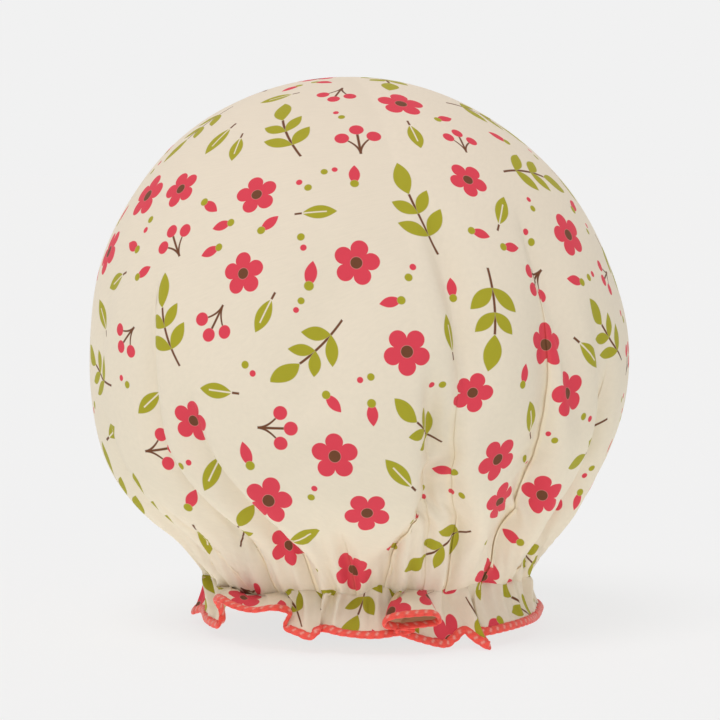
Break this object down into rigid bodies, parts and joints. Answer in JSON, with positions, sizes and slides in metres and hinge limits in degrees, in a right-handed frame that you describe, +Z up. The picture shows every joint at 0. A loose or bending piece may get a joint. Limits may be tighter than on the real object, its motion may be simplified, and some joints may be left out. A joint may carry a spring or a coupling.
{
  "type": "shower cap",
  "caption": "Puffed cloth shower cap with a waterproof lining, an elastic in a taped casing and a gathered frill with an overlocked edge.",
  "frame": {"origin": "under the middle of the cap, on the surface that the edge of its frill stands on", "axes": "+Z up through the top of the crown, -Y to the front as pictured, +X to the right in that view"},
  "size_m": [0.2802, 0.2672, 0.2871],
  "materials": {
    "printed_cloth": "plain-woven cotton, cream with a small floral print",
    "lining_film": "soft milky waterproof film",
    "cream_tape": "woven cotton tape",
    "white_elastic": "woven elastic",
    "cream_thread": "spun sewing thread",
    "coral_thread": "fluffy overlocking thread"
  },
  "bodies": {
    "root": {"crown": "printed_cloth", "frill": "printed_cloth", "lining": "lining_film", "casing_tape": "cream_tape", "elastic_band": "white_elastic", "elastic_tack": "cream_thread", "stitch_row_upper": "cream_thread", "stitch_row_lower": "cream_thread", "hem_overlock": "coral_thread"}
  },
  "joints": []
}
